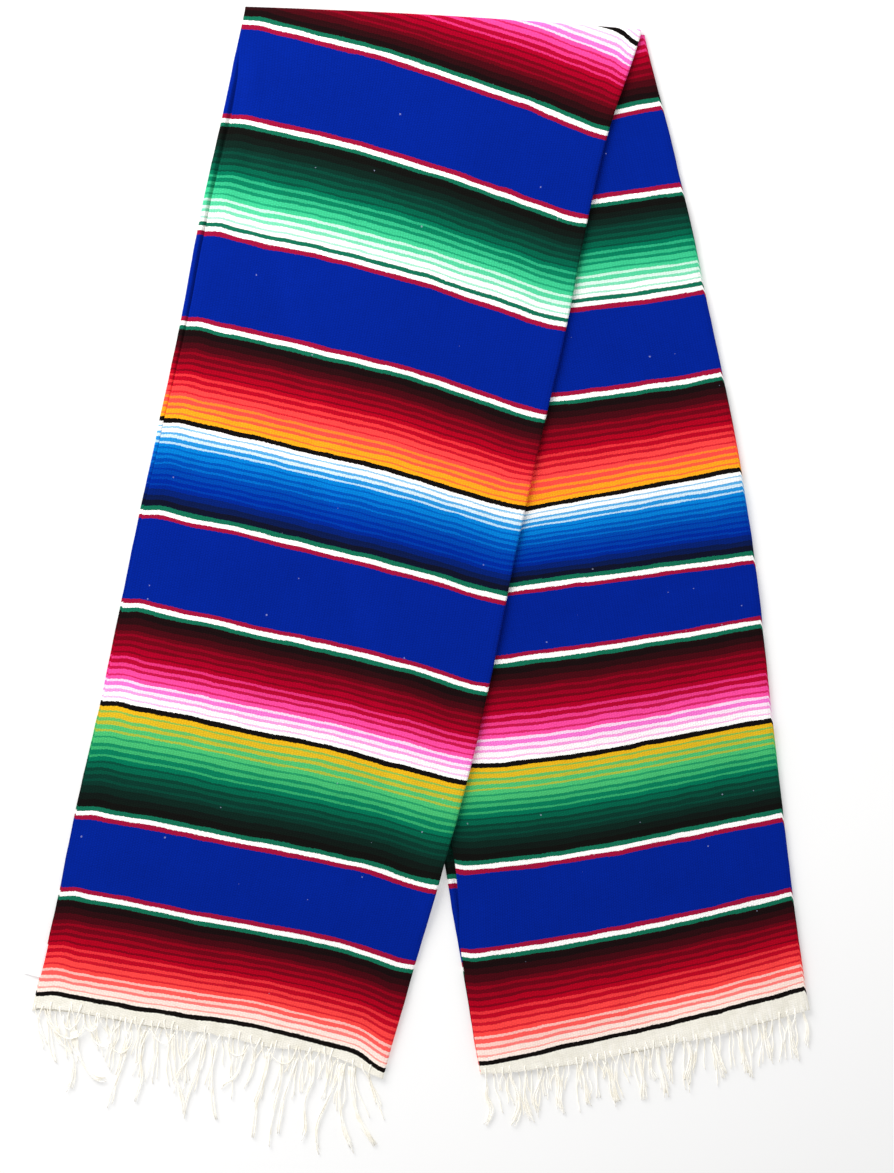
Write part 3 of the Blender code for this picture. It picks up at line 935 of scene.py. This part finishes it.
def bundle_route(fringe, row, share, length, chance):
    """The centre line of a bundle, from inside the heading to its tip."""
    hidden = 1 if fringe.low == 0 else 0
    reach = edge_reach(fringe.panel, share, hidden)
    inside = 3.0 * MM if hidden else chance.uniform(0.5, 8.0) * MM
    root = place_on(row, reach - inside, share * row.width)
    lean = lean_at(fringe.leans, share) + chance.uniform(-4.0, 4.0) * MM
    bend = chance.uniform(1.2, 2.3)
    swing = chance.uniform(-2.4, 2.4) * MM
    phase = chance.uniform(0, 2 * math.pi)
    stacked = chance.uniform(0.0, 1.6) * MM
    route = []
    for i in range(BUNDLE_STEPS + 1):
        part = i / BUNDLE_STEPS
        run = length * part
        way = row.heading.lerp(Vector((0, -1, 0)), 0.6 * min(run / SETTLES_AT, 1.0)).normalized()
        spot = root + way * run
        spot.x += lean * part**bend + swing * math.sin(phase + 5.5 * part) * part
        past = max(run - inside, 0.0)
        spot.z = resting_height(fringe, past, stacked * (1 - 0.6 * part))
        if not hidden:
            on_top = fringe.low + WALL + 0.4 * MM + relief(fringe.panel, row, spot, share * row.width)
            spot.z = max(spot.z, on_top - 0.35 * past)
        route.append(spot)
    return route


# %% [markdown]
# A few bundles and loops of the upper fringe are bold enough to be placed one by one. Each is a row of
# numbers: how many yarns it has, how wide it spreads and how high it rides on the yarns below it, in
# millimetres, and then the places in the photograph, x and y in turn, that a smooth curve runs
# through.

# %% Bundles and loops placed one by one
UPPER_LOOSE = [
    (5, 3.2, 1.6, 56, 1026, 60, 1040, 70, 1052, 74, 1066, 72, 1082, 66, 1096),
    (8, 3.6, 2.0, 74, 1030, 77, 1046, 82, 1061, 91, 1074, 100, 1079, 108, 1078),
    (2, 1.6, 1.4, 125, 1030, 126, 1048, 122, 1066, 116, 1084, 112, 1098, 108, 1112),
    (2, 1.6, 1.8, 147, 1030, 141, 1046, 141, 1062, 142, 1076, 137, 1094, 132, 1114),
    (3, 1.8, 1.2, 173, 1034, 174, 1056, 176, 1076, 181, 1092, 184, 1108, 185, 1122),
    (2, 1.5, 2.4, 202, 1034, 195, 1048, 187, 1061, 180, 1072, 174, 1084, 172, 1096),
    (2, 1.7, 1.5, 205, 1038, 200, 1060, 195, 1078, 190, 1092, 184, 1110, 181, 1127),
    (2, 1.5, 1.2, 216, 1044, 212, 1066, 213, 1086, 213, 1100, 215, 1114, 221, 1128),
    (2, 1.4, 2.2, 246, 1046, 243, 1058, 240, 1068, 234, 1077, 226, 1083, 219, 1090),
    (3, 1.8, 1.4, 268, 1052, 266, 1072, 261, 1090, 256, 1106, 254, 1124, 252, 1142),
    (2, 1.2, 1.8, 282, 1056, 281, 1078, 276, 1098, 273, 1116, 270, 1134, 270, 1151),
    (2, 1.5, 1.4, 296, 1058, 290, 1078, 284, 1096, 281, 1112, 279, 1128, 279, 1143),
    (3, 1.9, 1.9, 313, 1060, 312, 1080, 306, 1097, 304, 1114, 305, 1130, 300, 1144),
    (3, 2.2, 1.5, 340, 1062, 334, 1084, 325, 1104, 318, 1122, 317, 1142, 321, 1158),
    (6, 3.0, 2.1, 342, 1064, 340, 1084, 340, 1104, 343, 1124, 349, 1141, 356, 1157),
    (7, 3.4, 1.4, 352, 1066, 351, 1084, 354, 1102, 360, 1120, 368, 1134, 378, 1149),
    (2, 1.3, 3.4, 46, 1008, 51, 1022, 58, 1033, 69, 1038, 81, 1033, 88, 1017),
    (1, 0.0, 3.6, 64, 1014, 64, 1024, 70, 1028, 78, 1022, 82, 1014),
    (1, 0.0, 3.8, 84, 1013, 85, 1025, 91, 1031, 97, 1026, 99, 1015),
    (1, 0.0, 3.0, 103, 1018, 93, 1029, 94, 1041, 104, 1046, 112, 1040),
    (1, 0.0, 2.8, 122, 1022, 112, 1034, 112, 1046, 121, 1052, 131, 1044, 133, 1030),
    (1, 0.0, 2.6, 150, 1028, 158, 1040, 168, 1042, 176, 1032),
    (1, 0.0, 2.6, 226, 1040, 232, 1052, 242, 1054, 250, 1044),
    (1, 0.0, 2.6, 268, 1048, 276, 1060, 288, 1062, 296, 1052),
]
LOWER_LOOSE = [
    (4, 3.0, 1.6, 487, 1068, 486, 1082, 487, 1096, 491, 1108, 489, 1118, 484, 1127),
    (5, 4.2, 1.4, 508, 1066, 511, 1078, 517, 1092, 519, 1106, 516, 1117, 510, 1128),
    (4, 3.2, 2.0, 527, 1062, 526, 1078, 524, 1092, 526, 1104, 531, 1116, 536, 1124),
    (4, 3.4, 1.5, 543, 1060, 541, 1074, 537, 1087, 534, 1098, 537, 1108, 543, 1116),
    (6, 4.6, 1.8, 555, 1058, 557, 1072, 560, 1086, 559, 1098, 561, 1108, 565, 1116),
    (5, 4.0, 1.4, 577, 1053, 580, 1066, 584, 1078, 586, 1090, 588, 1100, 592, 1108),
    (7, 6.0, 1.9, 600, 1048, 604, 1062, 610, 1076, 613, 1088, 616, 1098, 620, 1108),
    (6, 5.2, 1.5, 633, 1042, 637, 1056, 641, 1070, 643, 1082, 643, 1092, 645, 1102),
    (5, 4.4, 1.7, 657, 1036, 657, 1050, 659, 1064, 663, 1076, 666, 1088, 668, 1100),
    (7, 6.0, 1.6, 683, 1030, 687, 1042, 690, 1054, 689, 1066, 687, 1076, 685, 1087),
    (6, 5.4, 1.4, 708, 1025, 711, 1037, 715, 1048, 719, 1060, 723, 1070, 726, 1080),
    (6, 5.0, 1.8, 737, 1018, 740, 1030, 742, 1044, 744, 1056, 747, 1068, 749, 1080),
    (5, 4.4, 1.5, 762, 1012, 763, 1024, 765, 1036, 768, 1046, 771, 1055, 773, 1062),
    (6, 5.2, 1.6, 788, 1007, 788, 1020, 790, 1032, 792, 1044, 795, 1054, 797, 1064),
    (4, 3.6, 1.4, 803, 1004, 804, 1014, 806, 1024, 807, 1034, 807, 1042, 808, 1050),
]
SPARSE, LIGHT = (1, 1, 2), (1, 2, 2)
FRINGES = [
    Fringe(f"{end}_fringe_{rank}_row", f"{end}_{layer}_fringe", *row)
    for end, rank, layer, *row in [
        ("upper", "top", "visible", UPPER, PLY, 62 * MM, 0.35, LIGHT, 3, 0.0, UPPER_LEANS, UPPER_LOOSE),
        ("upper", "under", "hidden", UPPER, 0.0, 56 * MM, 0.4, SPARSE, 5, 0.5, UPPER_LEANS, []),
        ("lower", "top", "visible", LOWER, PLY, 50 * MM, 0.4, SPARSE, 7, 0.0, LOWER_LEANS, LOWER_LOOSE),
        ("lower", "under", "hidden", LOWER, 0.0, 48 * MM, 0.45, SPARSE, 11, 0.5, LOWER_LEANS, []),
    ]
]


def loose_route(fringe, spread, ride, places):
    """The centre line of a bundle or loop placed one by one. A loop comes back to the heading."""
    xs, ys = places[::2], places[1::2]
    looped = spread == 0 or ride > 3.2
    route = []
    for i in range(BUNDLE_STEPS + 1):
        share = i / BUNDLE_STEPS
        spot = floor_place(curve_through(xs, share), curve_through(ys, share))
        run = (spot - route[0].xy.to_3d()).length if route else 0.0
        spot.z = resting_height(fringe, run, ride * MM * (1 if looped else 1 - 0.7 * share))
        route.append(spot)
    return route


# %% [markdown]
# A yarn is a thin five-sided tube. One mesh holds a whole row of fringe, because thousands of
# separate yarns would be slow to handle, and each tube's UV map runs round it and along it in
# metres, so the twist of the yarn can follow it.

# %% Yarns as tubes
SIDES = 5


class Strands:
    """Collects tubes, then makes them one mesh object."""

    def __init__(self):
        self.verts, self.faces, self.uvs = [], [], []

    def tube(self, points, radii):
        """A closed tube along points, with a radius at each."""
        start = len(self.verts)
        run = 0.0
        runs = []
        for i, point in enumerate(points):
            ahead, behind = points[min(i + 1, len(points) - 1)], points[max(i - 1, 0)]
            forward = (ahead - behind).normalized()
            side = forward.cross(Vector((0, 0, 1)))
            side = side.normalized() if side.length > 1e-6 else Vector((1, 0, 0))
            rise = side.cross(forward)
            if i:
                run += (point - points[i - 1]).length
            runs.append(run)
            for k in range(SIDES):
                turn = 2 * math.pi * k / SIDES
                self.verts.append(point + (side * math.cos(turn) + rise * math.sin(turn)) * radii[i])
        for i in range(len(points) - 1):
            for k in range(SIDES):
                j = (k + 1) % SIDES
                a, b = start + i * SIDES, start + (i + 1) * SIDES
                self.faces.append((a + k, a + j, b + j, b + k))
                round_a, round_b = k / SIDES, (k + 1) / SIDES
                ends = runs[i], runs[i + 1]
                self.uvs += [(round_a, ends[0]), (round_b, ends[0]), (round_b, ends[1]), (round_a, ends[1])]
        last = start + (len(points) - 1) * SIDES
        self.faces.append(tuple(start + k for k in reversed(range(SIDES))))
        self.faces.append(tuple(last + k for k in range(SIDES)))
        self.uvs += [(0.0, 0.0)] * SIDES + [(0.0, run)] * SIDES

    def make(self, name):
        mesh = bpy.data.meshes.new(name)
        mesh.from_pydata(self.verts, [], self.faces)
        yarn_map = mesh.uv_layers.new(name="yarn")
        for loop, uv in zip(yarn_map.data, self.uvs):
            loop.uv = uv
        mesh.shade_smooth()
        made = bpy.data.objects.new(name, mesh)
        bpy.context.scene.collection.objects.link(made)
        return made


def bundle(strands, route, yarns, chance, gather_at, root_out, tip_out):
    """The yarns of one bundle along a route: apart at the root, together where they gather, and apart."""
    count = len(route) - 1
    for k in range(yarns):
        spread = (k / (yarns - 1) - 0.5) * 2 if yarns > 1 else 0.0
        root = spread * root_out * chance.uniform(0.8, 1.1)
        tip = spread * tip_out * chance.uniform(0.6, 1.2)
        phase = chance.uniform(0, 2 * math.pi)
        waves = chance.uniform(6.0, 12.0)
        shorter = chance.uniform(0.84, 1.0) if yarns > 1 else 1.0
        thick = YARN_RADIUS * chance.uniform(0.85, 1.15)
        points, radii = [], []
        for i, spot in enumerate(route):
            part = i / count
            if part > shorter:
                break
            near = route[min(i + 1, count)] - route[max(i - 1, 0)]
            side = Vector((near.y, -near.x, 0)).normalized()
            before = max(0.0, 1 - part / gather_at)
            after = max(0.0, (part - gather_at) / (1 - gather_at))
            out = -root * soft_step(before) - tip * soft_step(after) - spread * 0.6 * YARN_RADIUS
            out += 0.6 * MM * math.sin(phase + waves * part) * (1 - before)
            lift = 0.4 * MM * math.sin(phase + 1.6 + waves * part)
            point = spot + side * out
            point.z = max(point.z + lift * (0.4 + 0.6 * part), thick + 0.1 * MM)
            points.append(point)
            left = (shorter - part) * count
            radii.append(thick * (0.6 + 0.4 * min(left / 3, 1.0)))
        strands.tube(points, radii)


def fringe_row(fringe):
    """A row of bundles along the end of one layer, and the listed ones."""
    row = end_rows["upper" if fringe.panel is UPPER else "lower"]
    chance = random.Random(fringe.seed)
    strands = Strands()
    pitch = (row.width - SIDE_FOLD_RADIUS) / (LOCKS + 1)
    for i in range(LOCKS):
        share = pitch * (i + 0.5 + fringe.offset) / row.width
        share += chance.uniform(-0.008, 0.008)
        length = fringe.length * chance.uniform(fringe.shortest, 1.0) + 3 * MM
        route = bundle_route(fringe, row, share, length, chance)
        gather_at = chance.uniform(14, 21) * MM / length
        root_out, tip_out = chance.uniform(2.6, 4.8) * MM, chance.uniform(0.6, 3.0) * MM
        bundle(strands, route, chance.choice(fringe.yarns), chance, gather_at, root_out, tip_out)
    for yarns, spread, ride, *places in fringe.loose:
        route, wide = loose_route(fringe, spread, ride, places), spread * MM
        gather_at = 0.35 if fringe.panel is UPPER else 0.1
        bundle(strands, route, yarns, chance, gather_at, 0.7 * wide, 0.5 * wide)
    return strands.make(fringe.name)


fringes = [fringe_row(fringe) for fringe in FRINGES]
for made in fringes:
    made.data.calc_loop_triangles()
    print(made.name, len(made.data.loop_triangles), "triangles", [round(v, 3) for v in made.dimensions])

# %% [markdown]
# The warp is undyed cotton, plied and a little hairy. It is nearly as white as the table, and what
# makes it show is the warm shade between the yarns. The twist is a fine slanting line on the tube,
# and a trace of emission stands for the light that comes through the loose fibres.

# %% Cotton warp


def cotton_warp(name):
    material, tree = new_material(name)

    def maths(operation, a, b=0.0):
        return add(tree, "ShaderNodeMath", {0: a, 1: b}, operation=operation).outputs[0]

    yarn = add(tree, "ShaderNodeUVMap", uv_map="yarn")
    parts = add(tree, "ShaderNodeSeparateXYZ", {0: yarn.outputs[0]})
    turns = maths("DIVIDE", parts.outputs[1], 1.9 * MM)
    twist = maths("ADD", maths("MULTIPLY", parts.outputs[0], 2.0), turns)
    strand = maths("ABSOLUTE", maths("SINE", maths("MULTIPLY", twist, math.pi)))
    place = add(tree, "ShaderNodeTexCoord").outputs["Object"]
    mottle = add(tree, "ShaderNodeTexNoise", {"Vector": place, "Scale": 90.0, "Detail": 3.0})
    colour = add(tree, "ShaderNodeValToRGB", {"Fac": mottle.outputs["Fac"]})
    colour.color_ramp.elements[0].position = 0.3
    colour.color_ramp.elements[0].color = linear("f6f1e2")
    colour.color_ramp.elements[1].position = 0.65
    colour.color_ramp.elements[1].color = linear("fffdf6")
    bump = add(tree, "ShaderNodeBump", {"Strength": 0.25, "Distance": 0.15 * MM, "Height": strand})
    shader = add(
        tree,
        "ShaderNodeBsdfPrincipled",
        {
            "Base Color": colour.outputs[0],
            "Roughness": 0.9,
            "Specular IOR Level": 0.1,
            "Sheen Weight": 0.4,
            "Emission Color": linear("fff8ea"),
            "Emission Strength": 0.04,
            "Normal": bump.outputs[0],
        },
    )
    add(tree, "ShaderNodeOutputMaterial", {"Surface": shader.outputs[0]})
    return material


cotton = cotton_warp("plied_cotton_warp")
for made, fringe in zip(fringes, FRINGES):
    made.data.materials.append(cotton)
    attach(made, "root")
    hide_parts(fringe.node)

# %% [markdown]
# ## The sewn tag
#
# A small woven ribbon is caught under the selvedge near the end of the upper stretch. It is left
# blank. It is a grid that stands out of the selvedge and droops to the table.

# %% Ribbon tag
TAG_LENGTH = 31.0 * MM
TAG_REACH = 16.0 * MM
TAG_PLACE = 0.967


def ribbon_tag(name):
    length = (UPPER.end_left - UPPER.start_left).length
    half = TAG_LENGTH / 2 / length
    near = place_on(row_of(UPPER, TAG_PLACE - half), 0.0, 0.0)
    far = place_on(row_of(UPPER, TAG_PLACE + half), 0.0, 0.0)
    along = (far - near).normalized()
    outward = Vector((along.y, -along.x, 0))
    bpy.ops.object.select_all(action="DESELECT")
    bpy.ops.mesh.primitive_grid_add(x_subdivisions=14, y_subdivisions=18, size=1)
    tag = bpy.context.object
    tag.name = name
    for vert in tag.data.vertices:
        across, run = vert.co.x + 0.5, vert.co.y + 0.5
        reach = -3 * MM + (TAG_REACH + 3 * MM) * across
        spot = near.lerp(far, run) + outward * reach
        droop = soft_step(max(reach, 0) / TAG_REACH)
        ripple = 0.35 * MM * math.sin(5.5 * run + 1.0) * droop
        vert.co = (spot.x, spot.y, (PLY - 0.1 * MM) * (1 - droop) + 0.75 * MM * droop + ripple)
    tag.data.uv_layers.active.name = "ribbon"
    wall = tag.modifiers.new("wall", "SOLIDIFY")
    wall.thickness = 0.35 * MM
    wall.offset = 0.0
    bpy.ops.object.modifier_apply(modifier="wall")
    bpy.ops.object.shade_smooth_by_angle(angle=math.radians(50))
    return tag


def satin_ribbon(name):
    material, tree = new_material(name)
    ribbon = add(tree, "ShaderNodeUVMap", uv_map="ribbon")
    ribs = add(tree, "ShaderNodeTexWave", {"Vector": ribbon.outputs[0], "Scale": 14.0, "Distortion": 0.4})
    tone = add(tree, "ShaderNodeValToRGB", {"Fac": ribs.outputs["Fac"]})
    tone.color_ramp.elements[0].color = linear("f8f4f5")
    tone.color_ramp.elements[1].color = linear("fffcfc")
    bump = add(tree, "ShaderNodeBump", {"Strength": 0.3, "Distance": 0.1 * MM, "Height": ribs.outputs["Fac"]})
    shader = add(
        tree,
        "ShaderNodeBsdfPrincipled",
        {"Base Color": tone.outputs[0], "Roughness": 0.5, "Normal": bump.outputs[0]},
    )
    add(tree, "ShaderNodeOutputMaterial", {"Surface": shader.outputs[0]})
    return material


tag = ribbon_tag("blank_ribbon_tag")
tag.data.materials.clear()
tag.data.materials.append(satin_ribbon("woven_satin_ribbon"))
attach(tag, "root")
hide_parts("selvedge_tag")
print("tag", [round(v, 4) for v in tag.dimensions])
